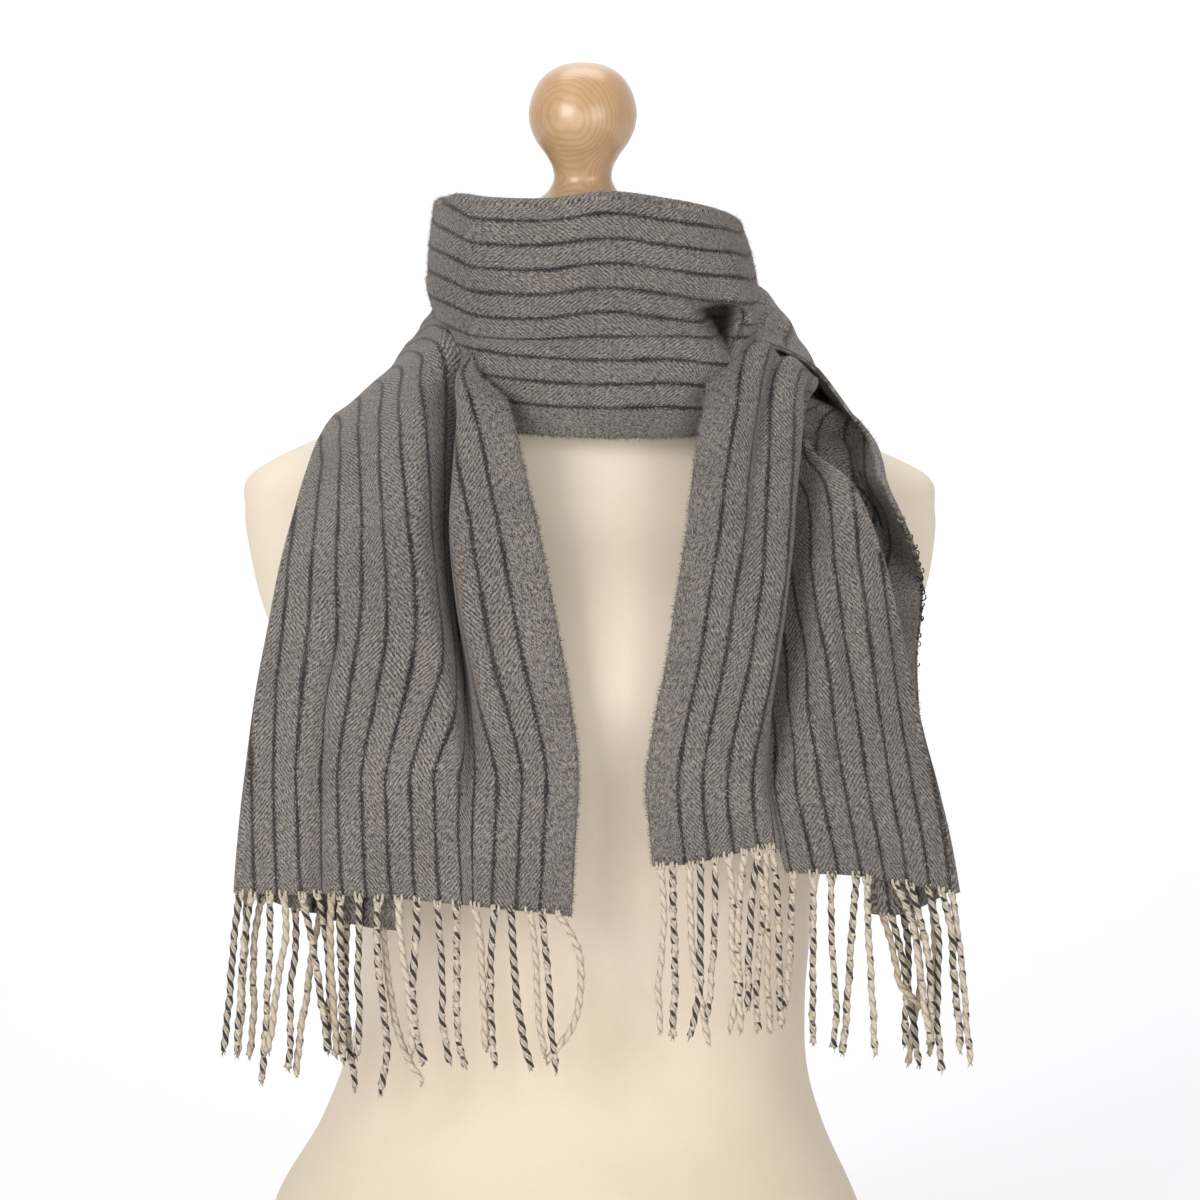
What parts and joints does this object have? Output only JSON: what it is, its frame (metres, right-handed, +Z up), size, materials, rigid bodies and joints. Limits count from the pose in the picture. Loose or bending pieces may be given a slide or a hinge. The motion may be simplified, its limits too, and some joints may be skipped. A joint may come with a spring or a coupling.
{
  "type": "scarf on a dress form",
  "caption": "Fringed cashmere scarf with herringbone and fine dark stripes, wound once round the neck of a cream limbless dress form with a turned beech knob.",
  "frame": {"origin": "on the dress form's flat base, straight below the middle of its neck", "axes": "+Z up, -Y towards the wearer's front, +X to the right as seen from the front"},
  "size_m": [0.4188, 0.2874, 0.7738],
  "materials": {
    "cashmere": "soft brushed nap",
    "fringe_yarn": "twisted yarn",
    "form_cover": "matt jersey",
    "beech": "satin varnish"
  },
  "bodies": {
    "root": {"form_torso": "form_cover", "form_knob": "beech", "neck_band": "cashmere", "tail_left": "cashmere", "tail_right": "cashmere", "fringe_left": "fringe_yarn", "fringe_right": "fringe_yarn"}
  },
  "joints": []
}
